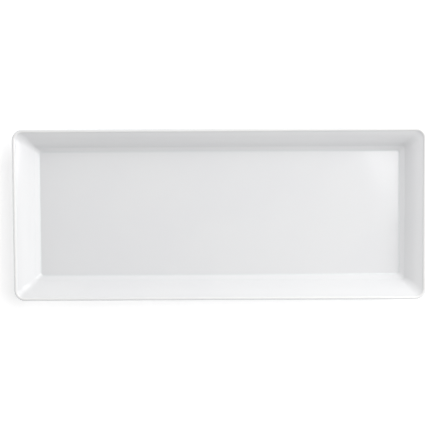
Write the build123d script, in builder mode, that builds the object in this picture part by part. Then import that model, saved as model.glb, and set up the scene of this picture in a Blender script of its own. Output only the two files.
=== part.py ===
from build123d import *
import os
from math import atan2, cos, hypot, radians, sin, sqrt, tan

# Rectangular china serving platter: a shallow well with flared, mitred walls and a rolled lip.
# Millimetres. The origin is on the table under the middle of the foot ring, +X runs along the
# platter's length and +Z points up.

# Overall size
length = 360.0
width = 150.0
height = 25.0

# Rolled lip
lip_bead = 3.2  # diameter of the bead along the edge
bead_proud = 0.45  # how far the bead stands out from the wall on either side
lip_corner = 9.5  # plan radius of the outermost corner

# Wall, from the well up to the lip
wall_slope = 46.5  # mean angle above the horizontal
wall_flare = 28.0  # how much flatter the wall is at the lip than at the well, in degrees
foot_wall = 4.0  # clay and glaze together where the wall meets the base

# Well
base_thickness = 4.2
well_corner = 1.6  # plan radius of the flat floor's corners
well_fillet = 2.6
band_angle = 43.0  # slope of the shallower band at the foot of the wall, in degrees
band_run = 4.0  # how wide the band is in plan
band_blend = 3.0  # radius where the wall turns into the band
band_corner = 0.1  # how much the plan corners open per millimetre across the band

# Underside
under_corner = 8.0  # plan radius where the wall turns under
under_round = 2.5
foot_height = 2.2
foot_width = 4.5
foot_set_in = 3.5  # from the foot of the wall to the foot ring
foot_corner = 7.0
foot_round = 0.9
foot_blend = 1.2

# Glaze
glaze = 0.25
bare_foot = 1.0  # height of the foot ring left unglazed

# Rings that each wall surface is lofted through
wall_rings = 5

bead_radius = lip_bead / 2
bead_height = height - bead_radius
floor_height = foot_height + base_thickness
lip_slope = radians(wall_slope - wall_flare / 2)
foot_slope = radians(wall_slope + wall_flare / 2)

# Half the wall's thickness at the lip, measured across the wall from the bead's centre line
half_lip_wall = bead_radius - bead_proud
lip_run = half_lip_wall * sin(lip_slope)
lip_rise = half_lip_wall * cos(lip_slope)


class Wall:
    """One flared surface of the wall, between two rings given as (inset, height, corner radius)."""

    def __init__(self, low, high):
        turn = radians(wall_flare)
        run = low[0] - high[0]
        rise = high[1] - low[1]
        steepest = atan2(rise, run) + turn / 2
        self.low = low
        self.high = high
        self.radius = hypot(run, rise) / (2 * sin(turn / 2))
        self.centre_inset = low[0] - self.radius * sin(steepest)
        self.centre_height = low[1] - self.radius * cos(steepest)

    def inset(self, z, out=0.0):
        """Distance in from the lip's outermost edge at height z, on the surface moved out by out."""
        return self.centre_inset + sqrt((self.radius + out) ** 2 - (z - self.centre_height) ** 2)

    def meeting(self, inset, z, slope, out=0.0):
        """Height where a line climbing outwards from (inset, z) meets the surface moved out by out."""
        across = inset - self.centre_inset
        above = z - self.centre_height
        along = above * sin(slope) - across * cos(slope)
        reach = hypot(across, above)
        return z - (along + sqrt(along**2 - reach**2 + (self.radius + out) ** 2)) * sin(slope)

    def ring(self, z, out=0.0):
        """Length, width and corner radius of the surface's ring at height z."""
        share = (z - self.low[1]) / (self.high[1] - self.low[1])
        inset = self.inset(z, out)
        corner = self.low[2] + share * (self.high[2] - self.low[2]) + self.inset(z) - inset
        return length - 2 * inset, width - 2 * inset, corner


def heights(low, high):
    """Evenly spaced heights of the rings between two levels."""
    return [low + (high - low) * step / (wall_rings - 1) for step in range(wall_rings)]


# The well's side of the wall
inner_top = bead_height + lip_rise
inner_top_inset = bead_radius + lip_run
band_slope = radians(band_angle)
band_height = floor_height + band_run * tan(band_slope)
inner_foot_inset = inner_top_inset + (inner_top - band_height) / tan(radians(wall_slope))
floor_corner = well_corner + well_fillet * tan(band_slope / 2)
inner_wall = Wall(
    (inner_foot_inset, band_height, floor_corner + band_run * band_corner),
    (inner_top_inset, inner_top, lip_corner - inner_top_inset),
)

# The underside of the wall, a wall's thickness outside it
outer_top = bead_height - lip_rise
outer_top_inset = bead_radius - lip_run
outer_foot_inset = inner_wall.inset(foot_height) - foot_wall / sin(foot_slope)
outer_wall = Wall(
    (outer_foot_inset, foot_height, under_corner),
    (outer_top_inset, outer_top, lip_corner - outer_top_inset),
)


def platter_form(skin):
    """The whole platter with its glazed surfaces moved into the clay by skin."""
    under = foot_height + skin
    floor = floor_height - skin
    outer_rim = outer_top + skin * cos(lip_slope)
    inner_rim = inner_top - skin * cos(lip_slope)
    lip_path_length = length - lip_bead
    lip_path_width = width - lip_bead
    foot_inset = outer_foot_inset + foot_set_in + skin
    foot_hole_inset = foot_inset + foot_width - 2 * skin

    # The floor and the band round it
    band_shift = skin * tan(band_slope / 2)
    floor_inset = inner_foot_inset + band_run - band_shift
    band_top = inner_wall.meeting(floor_inset, floor, band_slope, -skin)
    floor_ring = (length - 2 * floor_inset, width - 2 * floor_inset, floor_corner + band_shift)

    with BuildPart() as form:
        # Solid block with the underside's flare
        for z in heights(under, outer_rim):
            with BuildSketch(Plane.XY.offset(z)):
                RectangleRounded(*outer_wall.ring(z, skin))
        loft()
        fillet(form.faces().sort_by(Axis.Z)[0].edges(), under_round - skin)

        # Top of the wall, inside the bead
        with BuildSketch(Plane.XY.offset(outer_rim)):
            RectangleRounded(*outer_wall.ring(outer_rim, skin))
        with BuildSketch(Plane.XY.offset(inner_rim)):
            RectangleRounded(lip_path_length, lip_path_width, lip_corner - bead_radius)
        loft(ruled=True)

        # Foot ring
        with BuildSketch():
            RectangleRounded(length - 2 * foot_inset, width - 2 * foot_inset, foot_corner - skin)
            RectangleRounded(
                length - 2 * foot_hole_inset,
                width - 2 * foot_hole_inset,
                foot_corner - foot_width + skin,
                mode=Mode.SUBTRACT,
            )
        extrude(amount=under)
        ring_sides = form.faces().filter_by_position(Axis.Z, 0.01, under - 0.01)
        ring_sides = ring_sides.filter_by(Axis.Z, reverse=True)
        fillet(ring_sides.edges().group_by(Axis.Z)[-1], foot_blend + skin)
        fillet(form.edges().group_by(Axis.Z)[0], foot_round)

        # Hollow of the well, down to the band
        for z in heights(band_top, inner_rim):
            with BuildSketch(Plane.XY.offset(z)):
                RectangleRounded(*inner_wall.ring(z, -skin))
        loft(mode=Mode.SUBTRACT)

        # Shallower band round the floor
        with BuildSketch(Plane.XY.offset(band_top)):
            RectangleRounded(*inner_wall.ring(band_top, -skin))
        with BuildSketch(Plane.XY.offset(floor)):
            RectangleRounded(*floor_ring)
        loft(ruled=True, mode=Mode.SUBTRACT)
        band_edges = form.edges().filter_by_position(Axis.Z, band_top - 0.01, band_top + 0.01)
        fillet(band_edges, band_blend + skin)
        well_floor = form.faces().filter_by_position(Axis.Z, floor - 0.01, floor + 0.01)
        fillet(well_floor.edges(), well_fillet + skin)

        # Rolled bead along the lip
        with BuildLine(Plane.XY.offset(bead_height)) as lip_path:
            Polyline(
                (-lip_path_length / 2, -lip_path_width / 2),
                (lip_path_length / 2, -lip_path_width / 2),
                (lip_path_length / 2, lip_path_width / 2),
                (-lip_path_length / 2, lip_path_width / 2),
                close=True,
            )
            fillet(lip_path.vertices(), lip_corner - bead_radius)
        with BuildSketch(Plane(lip_path.wire() @ 0, z_dir=lip_path.wire() % 0)):
            Circle(bead_radius - skin)
        sweep(path=lip_path.wire())
    return form.part


glazed_form = platter_form(0.0)
clay_form = platter_form(glaze)

# Vitrified clay body
with BuildPart() as china_body:
    add(clay_form)

# Glaze over everything but the bearing part of the foot ring
with BuildPart() as glaze_coat:
    add(glazed_form)
    add(china_body.part, mode=Mode.SUBTRACT)
    split(bisect_by=Plane.XY.offset(bare_foot), keep=Keep.TOP)
coats = glaze_coat.solids().sort_by(SortBy.VOLUME)

# Glaze on the well, walls and lip and down the outside of the foot ring
with BuildPart() as glaze_face_and_rim:
    add(coats[-1])

# Glaze in the recess inside the foot ring
with BuildPart() as glaze_base_recess:
    add(coats[0])

os.makedirs("parts", exist_ok=True)
china_body.part.label = "china_body"
glaze_face_and_rim.part.label = "glaze_face_and_rim"
glaze_base_recess.part.label = "glaze_base_recess"
export_step(china_body.part, "parts/china_body.step")
export_step(glaze_face_and_rim.part, "parts/glaze_face_and_rim.step")
export_step(glaze_base_recess.part, "parts/glaze_base_recess.step")
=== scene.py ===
import math

import bmesh
import bpy
from mathutils import Euler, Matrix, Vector, noise


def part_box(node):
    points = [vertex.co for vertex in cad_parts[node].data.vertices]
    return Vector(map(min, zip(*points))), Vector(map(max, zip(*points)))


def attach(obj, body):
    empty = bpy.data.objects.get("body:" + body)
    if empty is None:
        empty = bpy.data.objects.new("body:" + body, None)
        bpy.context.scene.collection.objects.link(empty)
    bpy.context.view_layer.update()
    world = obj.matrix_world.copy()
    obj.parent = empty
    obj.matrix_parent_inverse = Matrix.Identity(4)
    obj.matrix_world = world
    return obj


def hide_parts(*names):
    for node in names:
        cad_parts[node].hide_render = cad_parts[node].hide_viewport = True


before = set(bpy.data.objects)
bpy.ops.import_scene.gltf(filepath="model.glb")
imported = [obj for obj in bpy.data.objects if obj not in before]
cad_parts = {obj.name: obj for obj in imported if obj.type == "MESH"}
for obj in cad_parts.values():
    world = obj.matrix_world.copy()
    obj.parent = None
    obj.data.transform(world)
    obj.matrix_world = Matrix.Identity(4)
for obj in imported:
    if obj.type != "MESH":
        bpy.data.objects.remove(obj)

# The looks of a white china serving platter. Metres, in the frame's own axes: +X along the platter's
# length, +Z up, with the table at z = 0. The glaze and the clay are built as closed shells from one
# profile, swept round rings of rounded rectangles. Insets are measured in from the lip's outer edge.

MM = 0.001


def write_sizes():
    """Updates the view layer."""
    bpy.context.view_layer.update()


write_sizes()


# ---------------------------------------------------------------- sizes, from the frame

BODY_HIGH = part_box("china_body")[1]
COAT_LOW, COAT_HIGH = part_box("glaze_face_and_rim")
RECESS_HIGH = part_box("glaze_base_recess")[1]

LENGTH = COAT_HIGH[0] - COAT_LOW[0]
WIDTH = COAT_HIGH[1] - COAT_LOW[1]
HEIGHT = COAT_HIGH[2]
GLAZE = HEIGHT - BODY_HIGH[2]
BARE_FOOT = COAT_LOW[2]
FOOT_HEIGHT = RECESS_HIGH[2] - GLAZE

# Rolled lip. The crease blend is the radius of the hollows on either side of the bead, and over the
# lip settle the wall's corners run in with the bead's.
BEAD_RADIUS = 1.6 * MM
BEAD_PROUD = 0.45 * MM
CREASE_BLEND = 0.3 * MM
LIP_CORNER = 9.5 * MM
LIP_SETTLE = 3.0 * MM

# Wall, from the well up to the lip
WALL_SLOPE = math.radians(46.5)
WALL_FLARE = math.radians(28.0)
FOOT_WALL = 4.0 * MM

# Well and base. The band is the shallower foot of the wall, and its plan corner radius grows by
# BAND_CORNER for each unit that it climbs outwards.
BASE_THICKNESS = 4.2 * MM
WELL_CORNER = 1.6 * MM
WELL_FILLET = 2.6 * MM
BAND_SLOPE = math.radians(43.0)
BAND_RUN = 4.0 * MM
BAND_BLEND = 3.0 * MM
BAND_CORNER = 0.1

# Underside
UNDER_CORNER = 8.0 * MM
UNDER_ROUND = 2.5 * MM
FOOT_WIDTH = 4.5 * MM
FOOT_SET_IN = 3.5 * MM
FOOT_CORNER = 7.0 * MM
FOOT_ROUND = 0.9 * MM
FOOT_BLEND = 1.2 * MM

# Fineness of the meshes
CORNER_STEPS = 20
LENGTH_STEPS = 112
WIDTH_STEPS = 44

# Unevenness from the firing: a depth and a noise scale for each. The last reach is how far glaze
# gathers beside a turn, and so how far the painted shade in hollows and painted highlight on edges
# spread.
SWELL = 0.15 * MM
SWELL_PITCH = 11.0
PULL = 0.2 * MM
PULL_PITCH = 6.0
GATHER_AND_SHADE_REACH = 1.1 * MM

# Table. Its own faint glow keeps the ground white under the soft light.
TABLE_REACH = 4.0
TABLE_COLOUR = (0.9, 0.9, 0.9, 1)
TABLE_ROUGHNESS = 0.6
TABLE_GLOW = 0.34

# Light. Each side light has the direction that it comes from and a strength. Near the horizon they
# fall to HORIZON_SHARE of it, and are whole from HORIZON_TOP upwards. The key is in watts.
SIDE_LIGHT = (
    ((1, 0, 0), 1.64),
    ((-1, 0, 0), 1.54),
    ((0, 1, 0), 1.08),
    ((0, -1, 0), 0.63),
)
HORIZON_SHARE = 0.5
HORIZON_TOP = 0.4
KEY_PLACE = (0.612, 0.354, 0.843)
KEY_SIZE = 1.0
KEY_POWER = 8.7

# Camera, over the platter and a little to one side
CAMERA_LENS = 62.86
CAMERA_SENSOR = 36.0
CAMERA_SHIFT = -0.0685
CAMERA_PLACE = (0.0034, 0.0491, 0.6876)
CAMERA_TURN = (-0.0403, 0.0055, -0.0054)
CAMERA_NEAR = 0.01
CAMERA_FAR = 50.0

# Sockets of a Mix node that mixes colours
MIX_SHARE, MIX_FIRST, MIX_SECOND, MIX_RESULT = 0, 6, 7, 2

# Worked out from the sizes above
FLOOR = FOOT_HEIGHT + BASE_THICKNESS
BEAD_HEIGHT = HEIGHT - BEAD_RADIUS
LIP_SLOPE = WALL_SLOPE - WALL_FLARE / 2
FOOT_SLOPE = WALL_SLOPE + WALL_FLARE / 2
HALF_LIP_WALL = BEAD_RADIUS - BEAD_PROUD


# ---------------------------------------------------------------- the profile

class Wall:
    """One flared wall surface between two rings given as (inset, height, corner radius)."""

    def __init__(self, low, high):
        run = low[0] - high[0]
        rise = high[1] - low[1]
        steepest = math.atan2(rise, run) + WALL_FLARE / 2
        self.low = low
        self.high = high
        self.radius = math.hypot(run, rise) / (2 * math.sin(WALL_FLARE / 2))
        self.centre = (
            low[0] - self.radius * math.sin(steepest),
            low[1] - self.radius * math.cos(steepest),
        )

    def inset(self, z):
        """Distance in from the lip's outer edge at a height."""
        return self.centre[0] + math.sqrt(self.radius ** 2 - (z - self.centre[1]) ** 2)

    def slope(self, z):
        """Angle of the wall from level at a height."""
        return math.acos((z - self.centre[1]) / self.radius)

    def corner(self, z):
        """Plan corner radius at a height."""
        share = (z - self.low[1]) / (self.high[1] - self.low[1])
        return self.low[2] + share * (self.high[2] - self.low[2])


TOP = BEAD_HEIGHT + HALF_LIP_WALL * math.cos(LIP_SLOPE)
TOP_INSET = BEAD_RADIUS + HALF_LIP_WALL * math.sin(LIP_SLOPE)
BAND_TOP = FLOOR + BAND_RUN * math.tan(BAND_SLOPE)
INNER_FOOT_INSET = TOP_INSET + (TOP - BAND_TOP) / math.tan(WALL_SLOPE)
FLOOR_CORNER = WELL_CORNER + WELL_FILLET * math.tan(BAND_SLOPE / 2)
INNER_WALL = Wall(
    (INNER_FOOT_INSET, BAND_TOP, FLOOR_CORNER + BAND_RUN * BAND_CORNER),
    (TOP_INSET, TOP, LIP_CORNER - TOP_INSET),
)
UNDER_TOP = BEAD_HEIGHT - HALF_LIP_WALL * math.cos(LIP_SLOPE)
UNDER_TOP_INSET = BEAD_RADIUS - HALF_LIP_WALL * math.sin(LIP_SLOPE)
OUTER_FOOT_INSET = INNER_WALL.inset(FOOT_HEIGHT) - FOOT_WALL / math.sin(FOOT_SLOPE)
OUTER_WALL = Wall(
    (OUTER_FOOT_INSET, FOOT_HEIGHT, UNDER_CORNER),
    (UNDER_TOP_INSET, UNDER_TOP, LIP_CORNER - UNDER_TOP_INSET),
)
RING_INSET = OUTER_FOOT_INSET + FOOT_SET_IN
HOLE_INSET = RING_INSET + FOOT_WIDTH


def spread(start, end, count):
    """count values from start to end, both included."""
    return [start + (end - start) * step / (count - 1) for step in range(count)]


def mix(low, high, share):
    """The value that lies a share of the way from low to high."""
    return low + (high - low) * share


def smooth_step(value):
    """0 to 1 with soft ends, for a value from 0 to 1."""
    value = min(1.0, max(0.0, value))
    return value * value * (3 - 2 * value)


def between(start, end, shares):
    """Rings on the straight stretch from one ring to another."""
    return [tuple(mix(a, b, share) for a, b in zip(start, end)) for share in shares]


def arc(centre, radius, start, end, count, corner):
    """Rings along an arc of the profile. Angles run from +inset towards +z, in radians, and corner gives
    a ring's corner radius from its inset."""
    rings = []
    for angle in spread(start, end, count):
        inset = centre[0] + radius * math.cos(angle)
        rings.append((inset, centre[1] + radius * math.sin(angle), corner(inset)))
    return rings


def foot_side():
    """Outside of the foot ring, from the glaze's edge up to the flat under the base."""
    side = [(RING_INSET, z, FOOT_CORNER) for z in spread(BARE_FOOT, FOOT_HEIGHT - FOOT_BLEND, 3)]
    blend = arc(
        (RING_INSET - FOOT_BLEND, FOOT_HEIGHT - FOOT_BLEND), FOOT_BLEND, 0, math.pi / 2, 9,
        lambda inset: FOOT_CORNER + RING_INSET - inset,
    )
    return side[:-1] + blend


def meeting(centre_a, reach_a, centre_b, reach_b):
    """Where two circles of the profile cross, on the side farther in from the lip's edge."""
    gap = math.dist(centre_a, centre_b)
    along = (gap ** 2 + reach_a ** 2 - reach_b ** 2) / (2 * gap)
    across = math.sqrt(reach_a ** 2 - along ** 2)
    way = ((centre_b[0] - centre_a[0]) / gap, (centre_b[1] - centre_a[1]) / gap)
    middle = (centre_a[0] + along * way[0], centre_a[1] + along * way[1])
    return max(
        (middle[0] - side * across * way[1], middle[1] + side * across * way[0])
        for side in (-1, 1)
    )


def bearing(start, end):
    """Angle of the direction from start to end, from 0 to a full turn."""
    return math.atan2(end[1] - start[1], end[0] - start[0]) % (2 * math.pi)


# A small hollow on either side of the bead touches both the bead and the wall
BEAD_CENTRE = (BEAD_RADIUS, BEAD_HEIGHT)
CREASE_REACH = BEAD_RADIUS + CREASE_BLEND
UNDER_CREASE = meeting(BEAD_CENTRE, CREASE_REACH, OUTER_WALL.centre, OUTER_WALL.radius - CREASE_BLEND)
INSIDE_CREASE = meeting(BEAD_CENTRE, CREASE_REACH, INNER_WALL.centre, INNER_WALL.radius + CREASE_BLEND)


def on_bead(inset):
    """Corner radius of the bead's rings, which all share the lip's corner centres."""
    return LIP_CORNER - inset


def wall_rings(wall, start, end, count):
    """Rings of a wall between two heights. Near the bead their corners run in with the bead's."""
    rings = []
    for z in spread(start, end, count):
        inset = wall.inset(z)
        share = smooth_step(abs(z - max(start, end)) / LIP_SETTLE)
        rings.append((inset, z, mix(on_bead(inset), wall.corner(z), share)))
    return rings


def under_side():
    """The turn from the flat under the base into the wall's underside, and the wall up to the lip."""
    slope = OUTER_WALL.slope(FOOT_HEIGHT)
    reach = UNDER_ROUND * math.tan(slope / 2)
    turn = arc(
        (OUTER_FOOT_INSET + reach, FOOT_HEIGHT + UNDER_ROUND), UNDER_ROUND,
        -math.pi / 2, -math.pi / 2 - slope, 9, lambda inset: UNDER_CORNER + OUTER_FOOT_INSET - inset,
    )
    towards_wall = bearing(OUTER_WALL.centre, UNDER_CREASE)
    end = UNDER_CREASE[1] + CREASE_BLEND * math.sin(towards_wall)
    return turn + wall_rings(OUTER_WALL, turn[-1][1], end, 20)[1:]


def bead_and_creases():
    """Up over the rolled bead, from the hollow under it to the hollow inside it."""
    under = arc(
        UNDER_CREASE, CREASE_BLEND, bearing(OUTER_WALL.centre, UNDER_CREASE),
        bearing(UNDER_CREASE, BEAD_CENTRE), 6, on_bead,
    )
    bead = arc(
        BEAD_CENTRE, BEAD_RADIUS, bearing(BEAD_CENTRE, UNDER_CREASE),
        bearing(BEAD_CENTRE, INSIDE_CREASE), 37, on_bead,
    )
    inside = arc(
        INSIDE_CREASE, CREASE_BLEND, bearing(INSIDE_CREASE, BEAD_CENTRE),
        bearing(INSIDE_CREASE, INNER_WALL.centre), 6, on_bead,
    )
    return under[1:-1] + bead + inside[1:]


def inner_side(top):
    """The wall inside the lip, down from height top, the band at its foot and the well's edge."""
    # Where the turn from the wall into the band leaves the wall and joins the band
    turn = FOOT_SLOPE - BAND_SLOPE
    reach = BAND_BLEND * math.tan(turn / 2)
    blend_centre = (
        INNER_FOOT_INSET + reach * math.cos(BAND_SLOPE) + BAND_BLEND * math.sin(BAND_SLOPE),
        BAND_TOP - reach * math.sin(BAND_SLOPE) + BAND_BLEND * math.cos(BAND_SLOPE),
    )
    blend = arc(
        blend_centre, BAND_BLEND, -math.pi / 2 - FOOT_SLOPE, -math.pi / 2 - BAND_SLOPE, 6,
        band_corner,
    )
    floor_reach = WELL_FILLET * math.tan(BAND_SLOPE / 2)
    edge = INNER_FOOT_INSET + BAND_RUN + floor_reach
    fillet = arc(
        (edge, FLOOR + WELL_FILLET), WELL_FILLET, -math.pi / 2 - BAND_SLOPE, -math.pi / 2, 13,
        lambda inset: WELL_CORNER + edge - inset,
    )
    wall = wall_rings(INNER_WALL, top, blend[0][1], 27)[1:-1]
    band = between(blend[-1], fillet[0], (0.25, 0.5, 0.75))
    return wall + blend + band + fillet + flat_edge(fillet[-1])


def band_corner(inset):
    """Plan corner radius in the band at the wall's foot."""
    return FLOOR_CORNER + (INNER_FOOT_INSET + BAND_RUN - inset) * BAND_CORNER


def flat_edge(ring):
    """Rings into the flat beside the last ring of a fillet, which hold the flat's shading level."""
    inset, z, corner = ring
    steps = [share * corner for share in (0.12, 0.4, 0.85)]
    return [(inset + step, z, corner - step) for step in steps]


def recess_side():
    """The glaze inside the foot ring, from its edge up to the flat under the base."""
    corner = FOOT_CORNER - FOOT_WIDTH
    side = [(HOLE_INSET, z, corner) for z in spread(BARE_FOOT, FOOT_HEIGHT - FOOT_BLEND, 3)]
    blend = arc(
        (HOLE_INSET + FOOT_BLEND, FOOT_HEIGHT - FOOT_BLEND), FOOT_BLEND, math.pi, math.pi / 2, 9,
        lambda inset: corner + HOLE_INSET - inset,
    )
    return side[:-1] + blend + flat_edge(blend[-1])


def moved_in(rings, side):
    """The rings moved into the clay by the glaze's thickness. side is 1 where the clay is on the right
    of the profile as it runs, and -1 where it is on the left."""
    moved = []
    for index, (inset, z, corner) in enumerate(rings):
        before = rings[max(0, index - 1)]
        after = rings[min(len(rings) - 1, index + 1)]
        run, rise = after[0] - before[0], after[1] - before[1]
        length = math.hypot(run, rise)
        step = side * GLAZE * rise / length
        moved.append((inset + step, z - side * GLAZE * run / length, corner - step))
    return moved


def bare_foot_rings():
    """The unglazed foot, from its inner side under the recess glaze round to its outer side."""
    inner, outer = HOLE_INSET - GLAZE, RING_INSET + GLAZE
    inner_corner, outer_corner = FOOT_CORNER - FOOT_WIDTH + GLAZE, FOOT_CORNER - GLAZE
    inner_turn = arc(
        (inner - FOOT_ROUND, FOOT_ROUND), FOOT_ROUND, 0, -math.pi / 2, 8,
        lambda inset: inner_corner + inner - inset,
    )
    outer_turn = arc(
        (outer + FOOT_ROUND, FOOT_ROUND), FOOT_ROUND, -math.pi / 2, -math.pi, 8,
        lambda inset: outer_corner + outer - inset,
    )
    return inner_turn + between(inner_turn[-1], outer_turn[0], (0.1, 0.35, 0.65, 0.9)) + outer_turn


# ---------------------------------------------------------------- meshes

def ring_points(ring):
    """The points of one ring, anticlockwise from the +X end of the +X +Y corner."""
    inset, z, corner = ring
    half_x, half_y = LENGTH / 2 - inset - corner, WIDTH / 2 - inset - corner
    points = []
    for quarter, (sign_x, sign_y) in enumerate(((1, 1), (-1, 1), (-1, -1), (1, -1))):
        centre_x, centre_y = sign_x * half_x, sign_y * half_y
        for step in range(CORNER_STEPS + 1):
            angle = math.pi / 2 * (quarter + step / CORNER_STEPS)
            points.append((centre_x + corner * math.cos(angle), centre_y + corner * math.sin(angle), z))
        end_x, end_y = points[-1][:2]
        steps = WIDTH_STEPS if quarter % 2 else LENGTH_STEPS
        step_x = 0 if quarter % 2 else -sign_x * 2 * half_x / steps
        step_y = -sign_y * 2 * half_y / steps if quarter % 2 else 0
        points += [(end_x + step_x * step, end_y + step_y * step, z) for step in range(1, steps)]
    return points


RING_SIZE = 4 * CORNER_STEPS + 2 * LENGTH_STEPS + 2 * WIDTH_STEPS


def cap(points, first, ring):
    """The faces that close a ring whose points start at first: a grid with a fan in each corner."""
    inset, z, corner = ring
    half_x, half_y = LENGTH / 2 - inset - corner, WIDTH / 2 - inset - corner
    grid = len(points)
    for column in range(LENGTH_STEPS + 1):
        x = mix(-half_x, half_x, column / LENGTH_STEPS)
        points += [(x, mix(-half_y, half_y, row / WIDTH_STEPS), z) for row in range(WIDTH_STEPS + 1)]

    def at(column, row):
        return grid + column * (WIDTH_STEPS + 1) + row

    faces = []
    for column in range(LENGTH_STEPS):
        after = column + 1
        for row in range(WIDTH_STEPS):
            faces.append((at(column, row), at(after, row), at(after, row + 1), at(column, row + 1)))
    sides = (
        [at(column, WIDTH_STEPS) for column in range(LENGTH_STEPS, -1, -1)],
        [at(0, row) for row in range(WIDTH_STEPS, -1, -1)],
        [at(column, 0) for column in range(LENGTH_STEPS + 1)],
        [at(LENGTH_STEPS, row) for row in range(WIDTH_STEPS + 1)],
    )
    place = first
    for side in sides:
        for step in range(CORNER_STEPS):
            faces.append((side[0], place + step, place + step + 1))
        place += CORNER_STEPS
        for step in range(len(side) - 1):
            end = first + (place - first + step + 1) % RING_SIZE
            faces.append((side[step], place + step, end, side[step + 1]))
        place += len(side) - 1
    return faces


def warped(point):
    """The slight unevenness of a fired platter: none at the foot, whole from the well's height up, and
    never outwards."""
    x, y, z = point
    rise = smooth_step((z - BARE_FOOT) / (FLOOR - BARE_FOOT))
    swell = 0.5 - 0.5 * noise.noise(Vector((x, y, 0.4)) * SWELL_PITCH)
    pull_x = 0.5 + 0.5 * noise.noise(Vector((x, y, 1.1)) * PULL_PITCH)
    pull_y = 0.5 + 0.5 * noise.noise(Vector((x, y, 2.3)) * PULL_PITCH)
    return (
        x - math.copysign(min(1, abs(x) / (LENGTH / 2)) * rise * PULL * pull_x, x),
        y - math.copysign(min(1, abs(y) / (WIDTH / 2)) * rise * PULL * pull_y, y),
        z - rise * SWELL * swell,
    )


def glaze_depths_and_painted_light(rings):
    """How deep the glaze lies along a profile, 0 to 1 with 0.5 as its usual depth, and with it painted
    light.
    It gathers in hollows and thins over rounded edges, so this follows how sharply the profile turns
    nearby:
    deep glaze is coloured darker as painted shade in hollows, and thin glaze lighter as a painted
    highlight."""
    spacing = [math.dist(a[:2], b[:2]) for a, b in zip(rings, rings[1:])]
    place = [sum(spacing[:index]) for index in range(len(rings))]
    turns = []
    for before, ring, after in zip(rings, rings[1:], rings[2:]):
        turn = bearing(ring[:2], after[:2]) - bearing(before[:2], ring[:2])
        turns.append((turn + math.pi) % (2 * math.pi) - math.pi)
    turns = [0.0] + turns + [0.0]
    depths_and_painted_light = []
    for ring, here in zip(rings, place):
        near = sum(
            turn * math.exp(-((here - there) / GATHER_AND_SHADE_REACH) ** 2)
            for turn, there in zip(turns, place)
        )
        depth = 0.5 + 0.5 * math.tanh(near)
        # Painted shade: the bead's outer side is given the gathered glaze colour, so the lip's outer
        # edge reads dark
        painted_outline_shade = smooth_step(1 - ring[0] / BEAD_RADIUS)
        depths_and_painted_light.append(mix(depth, 1.0, painted_outline_shade))
    return depths_and_painted_light


def shell(name, rings, depths_and_painted_light):
    """A closed, smooth mesh through the rings, with both ends filled in."""
    points, faces, weights = [], [], []
    for ring, depth in zip(rings, depths_and_painted_light):
        points += ring_points(ring)
        weights += [depth] * RING_SIZE
    for index in range(len(rings) - 1):
        low, high = index * RING_SIZE, (index + 1) * RING_SIZE
        for step in range(RING_SIZE):
            after = (step + 1) % RING_SIZE
            faces.append((low + step, low + after, high + after, high + step))
    for index in (0, len(rings) - 1):
        faces += cap(points, index * RING_SIZE, rings[index])
    weights += [0.5] * (len(points) - len(weights))
    mesh = bpy.data.meshes.new(name)
    mesh.from_pydata([warped(point) for point in points], [], faces)
    # The glaze depth is also painted light: it darkens hollows and the bead's outer side as painted
    # shade and lightens rounded edges as a painted highlight.
    attribute = mesh.attributes.new("glaze_depth_and_painted_light", "FLOAT", "POINT")
    attribute.data.foreach_set("value", weights)
    form = bmesh.new()
    form.from_mesh(mesh)
    bmesh.ops.recalc_face_normals(form, faces=form.faces)
    form.to_mesh(mesh)
    form.free()
    mesh.shade_smooth()
    piece = bpy.data.objects.new(name, mesh)
    bpy.context.scene.collection.objects.link(piece)
    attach(piece, "root")
    return piece


def rounded_edge(outer, inner):
    """The glaze's thin rounded edge, between its outer ring and its ring on the clay."""
    middle = tuple(mix(a, b, 0.5) for a, b in zip(outer, inner))
    half = GLAZE / 2
    side = 1 if inner[0] > outer[0] else -1
    edge = []
    for angle in spread(0, math.pi, 5)[1:-1]:
        step = -side * half * math.cos(angle)
        edge.append((middle[0] + step, middle[1] - half * math.sin(angle), middle[2] - step))
    return edge


# ---------------------------------------------------------------- materials

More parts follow.
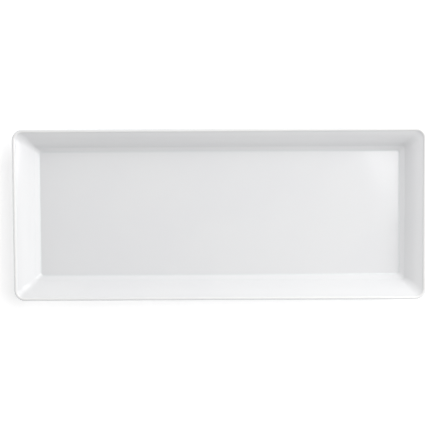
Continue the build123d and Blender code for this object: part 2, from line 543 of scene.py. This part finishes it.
class Shader:
    """A Principled material and short ways to add nodes to it."""

    def __init__(self, name, **values):
        self.material = bpy.data.materials.new(name)
        self.material.use_nodes = True
        self.nodes = self.material.node_tree.nodes
        self.links = self.material.node_tree.links
        self.principled = self.nodes["Principled BSDF"]
        for key, value in values.items():
            self.principled.inputs[key.replace("_", " ")].default_value = value
        self.place = self.nodes.new("ShaderNodeTexCoord").outputs["Object"]

    def link(self, source, node, socket):
        self.links.new(source, node.inputs[socket])

    def noise(self, scale, detail=2.0, roughness=0.5):
        node = self.nodes.new("ShaderNodeTexNoise")
        node.inputs["Scale"].default_value = scale
        node.inputs["Detail"].default_value = detail
        node.inputs["Roughness"].default_value = roughness
        self.link(self.place, node, "Vector")
        return node.outputs["Fac"]

    def ramp(self, source, low, high, start, end):
        """Values or colours from start to end, as source goes from low to high."""
        colours = isinstance(start, tuple)
        share = self.nodes.new("ShaderNodeMapRange")
        share.interpolation_type = "SMOOTHSTEP"
        share.inputs["From Min"].default_value = low
        share.inputs["From Max"].default_value = high
        self.link(source, share, "Value")
        if not colours:
            share.inputs["To Min"].default_value = start
            share.inputs["To Max"].default_value = end
            return share.outputs["Result"]
        blend = self.nodes.new("ShaderNodeMix")
        blend.data_type = "RGBA"
        blend.inputs[MIX_FIRST].default_value = (*start, 1)
        blend.inputs[MIX_SECOND].default_value = (*end, 1)
        self.link(share.outputs["Result"], blend, MIX_SHARE)
        return blend.outputs[MIX_RESULT]

    def mixed(self, first, second, share, way="MIX"):
        """Two colours mixed by a number or a socket."""
        blend = self.nodes.new("ShaderNodeMix")
        blend.data_type = "RGBA"
        blend.blend_type = way
        for socket, value in ((MIX_SHARE, share), (MIX_FIRST, first), (MIX_SECOND, second)):
            if isinstance(value, bpy.types.NodeSocket):
                self.link(value, blend, socket)
            else:
                plain = value if socket == MIX_SHARE else (*value, 1)
                blend.inputs[socket].default_value = plain
        return blend.outputs[MIX_RESULT]

    def attribute(self, name):
        node = self.nodes.new("ShaderNodeAttribute")
        node.attribute_name = name
        return node.outputs["Fac"]

    def colour(self, source):
        self.link(source, self.principled, "Base Color")

    def roughness(self, source):
        self.link(source, self.principled, "Roughness")

    def bumps(self, layers):
        """Fine relief from (height source, height in metres) layers, one over the other."""
        normal = None
        for source, height in layers:
            node = self.nodes.new("ShaderNodeBump")
            node.inputs["Strength"].default_value = 1.0
            node.inputs["Distance"].default_value = height
            self.link(source, node, "Height")
            if normal is not None:
                self.link(normal, node, "Normal")
            normal = node.outputs["Normal"]
        self.link(normal, self.principled, "Normal")


def glaze_material(name, full, gathered_with_painted_shade, thin):
    """Glossy white glaze over white clay: cooler where it gathers, and darker there as painted shade in
    the hollows; a touch warmer where it thins, and lighter there as a painted highlight over rounded
    edges.
    """
    shader = Shader(name, IOR=1.52)
    depth = shader.attribute("glaze_depth_and_painted_light")
    # Painted shade: the gathered colour is darker as well as cooler, so hollows and the bead's outer
    # side read shaded.
    cool_with_painted_shade = shader.ramp(depth, 0.5, 0.95, full, gathered_with_painted_shade)
    # Painted highlight: the thin colour is lighter as well as warmer, so the bead's top and other
    # rounded edges read lit.
    body = shader.mixed(thin, cool_with_painted_shade, shader.ramp(depth, 0.05, 0.5, 0.0, 1.0))
    cloud = shader.ramp(shader.noise(14.0, 3.0), 0.35, 0.65, (0.985, 0.985, 0.99), (1.0, 1.0, 1.0))
    body = shader.mixed(body, cloud, 1.0, "MULTIPLY")
    shader.colour(body)
    shader.roughness(shader.ramp(shader.noise(60.0, 4.0), 0.3, 0.7, 0.09, 0.15))
    shader.bumps([
        (shader.noise(160.0, 2.0), 0.012 * MM),
        (shader.noise(900.0, 2.0), 0.0018 * MM),
    ])
    return shader.material


def clay_material():
    """The bare vitrified foot: matte, fine-grained, a little greyer and warmer than the glaze."""
    shader = Shader("bare_china_clay", IOR=1.5)
    grain = shader.ramp(
        shader.noise(2600.0, 6.0, 0.7), 0.3, 0.7, (0.60, 0.575, 0.53), (0.74, 0.72, 0.68)
    )
    patch = shader.ramp(shader.noise(90.0, 4.0), 0.35, 0.7, (0.93, 0.90, 0.85), (1.0, 1.0, 1.0))
    shader.colour(shader.mixed(grain, patch, 1.0, "MULTIPLY"))
    shader.roughness(shader.ramp(shader.noise(1500.0, 4.0), 0.3, 0.7, 0.55, 0.8))
    shader.bumps([
        (shader.noise(700.0, 5.0, 0.65), 0.06 * MM),
        (shader.noise(4200.0, 4.0, 0.7), 0.02 * MM),
    ])
    return shader.material


# ---------------------------------------------------------------- the platter

upper_rings = foot_side() + under_side() + bead_and_creases()
upper_rings += inner_side(upper_rings[-1][1])
upper_clay = moved_in(upper_rings, 1)
# Glaze depth along the profile, which also carries painted shade and a painted highlight
upper_depths_and_painted_light = glaze_depths_and_painted_light(upper_rings)
upper_edge = rounded_edge(upper_rings[0], upper_clay[0])

recess_rings = recess_side()
recess_clay = moved_in(recess_rings, -1)
recess_depths_and_painted_light = [1 - depth for depth in glaze_depths_and_painted_light(recess_rings)]
recess_edge = rounded_edge(recess_rings[0], recess_clay[0])

upper_glaze = shell(
    "upper_glaze",
    upper_rings[::-1] + upper_edge + upper_clay,
    upper_depths_and_painted_light[::-1] + [upper_depths_and_painted_light[0]] * len(upper_edge) + upper_depths_and_painted_light,
)
recess_glaze = shell(
    "recess_glaze",
    recess_rings[::-1] + recess_edge + recess_clay,
    recess_depths_and_painted_light[::-1] + [recess_depths_and_painted_light[0]] * len(recess_edge) + recess_depths_and_painted_light,
)
body_rings = recess_clay[::-1] + bare_foot_rings() + upper_clay
china_clay = shell("china_clay", body_rings, [0.5] * len(body_rings))

# The gathered colour is darker as painted shade and the thin one lighter as a painted highlight.
upper_glaze.data.materials.append(
    glaze_material("white_glaze", (0.80, 0.803, 0.81), (0.765, 0.785, 0.79), (0.87, 0.868, 0.86))
)
# Here too the gathered colour is darker, as painted shade in the hollow turn inside the foot ring.
recess_glaze.data.materials.append(
    glaze_material("recess_white_glaze", (0.77, 0.77, 0.77), (0.73, 0.745, 0.745), (0.77, 0.765, 0.755))
)
china_clay.data.materials.append(clay_material())

for piece, node, slot in (
    (upper_glaze, "glaze_face_and_rim", "clear_white_glaze"),
    (recess_glaze, "glaze_base_recess", "base_glaze"),
    (china_clay, "china_body", "vitrified_clay"),
):
    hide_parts(node)


# ---------------------------------------------------------------- table, light and camera

def table_top():
    """A wide pale table, level with the platter's foot."""
    corners = [(TABLE_REACH * x, TABLE_REACH * y, 0) for x, y in ((-1, -1), (1, -1), (1, 1), (-1, 1))]
    mesh = bpy.data.meshes.new("table_top")
    mesh.from_pydata(corners, [], [(0, 1, 2, 3)])
    top = bpy.data.objects.new("table_top", mesh)
    bpy.context.scene.collection.objects.link(top)
    shader = Shader("pale_table", Base_Color=TABLE_COLOUR, Roughness=TABLE_ROUGHNESS)
    shader.principled.inputs["Emission Color"].default_value = (1, 1, 1, 1)
    shader.principled.inputs["Emission Strength"].default_value = TABLE_GLOW
    mesh.materials.append(shader.material)


def world_light():
    """Soft light from round the sides, dimmer close to the horizon and straight above."""
    world = bpy.data.worlds.new("studio")
    world.use_nodes = True
    bpy.context.scene.world = world
    nodes, links = world.node_tree.nodes, world.node_tree.links
    way = nodes.new("ShaderNodeTexCoord").outputs["Generated"]
    total = None
    for side, strength in SIDE_LIGHT:
        facing = nodes.new("ShaderNodeVectorMath")
        facing.operation = "DOT_PRODUCT"
        facing.inputs[1].default_value = side
        links.new(way, facing.inputs[0])
        share = nodes.new("ShaderNodeMath")
        share.operation = "MAXIMUM"
        share.inputs[1].default_value = 0.0
        links.new(facing.outputs["Value"], share.inputs[0])
        lobe = nodes.new("ShaderNodeMath")
        lobe.operation = "MULTIPLY"
        links.new(share.outputs[0], lobe.inputs[0])
        links.new(share.outputs[0], lobe.inputs[1])
        lit = nodes.new("ShaderNodeMath")
        lit.operation = "MULTIPLY_ADD"
        lit.inputs[1].default_value = strength
        lit.inputs[2].default_value = 0.0
        links.new(lobe.outputs[0], lit.inputs[0])
        if total is not None:
            links.new(total, lit.inputs[2])
        total = lit.outputs[0]
    upright = nodes.new("ShaderNodeSeparateXYZ")
    links.new(way, upright.inputs[0])
    height_share = nodes.new("ShaderNodeMapRange")
    height_share.interpolation_type = "SMOOTHSTEP"
    height_share.inputs["From Max"].default_value = HORIZON_TOP
    height_share.inputs["To Min"].default_value = HORIZON_SHARE
    links.new(upright.outputs["Z"], height_share.inputs["Value"])
    strength = nodes.new("ShaderNodeMath")
    strength.operation = "MULTIPLY"
    links.new(total, strength.inputs[0])
    links.new(height_share.outputs["Result"], strength.inputs[1])
    links.new(strength.outputs[0], nodes["Background"].inputs["Strength"])
    nodes["Background"].inputs["Color"].default_value = (1, 1, 1, 1)


def soft_box(name, place, aim, size, power):
    """A square soft light that the camera doesn't see."""
    light = bpy.data.lights.new(name, "AREA")
    light.size = size
    light.energy = power
    box = bpy.data.objects.new(name, light)
    box.location = place
    box.rotation_euler = (Vector(aim) - Vector(place)).to_track_quat("-Z", "Y").to_euler()
    box.visible_camera = False
    bpy.context.scene.collection.objects.link(box)


def overhead_camera():
    """The photograph's view, almost straight down."""
    camera = bpy.data.cameras.new("camera")
    camera.lens = CAMERA_LENS
    camera.sensor_width = CAMERA_SENSOR
    camera.shift_y = CAMERA_SHIFT
    camera.dof.use_dof = False
    camera.clip_start = CAMERA_NEAR
    camera.clip_end = CAMERA_FAR
    holder = bpy.data.objects.new("camera", camera)
    holder.location = CAMERA_PLACE
    holder.rotation_mode = "ZYX"
    holder.rotation_euler = Euler(CAMERA_TURN, "ZYX")
    bpy.context.scene.collection.objects.link(holder)
    bpy.context.scene.camera = holder


overhead_camera()
table_top()
world_light()
soft_box("key", KEY_PLACE, (0, 0, 0), KEY_SIZE, KEY_POWER)
bpy.context.scene.view_settings.view_transform = "Standard"

write_sizes()
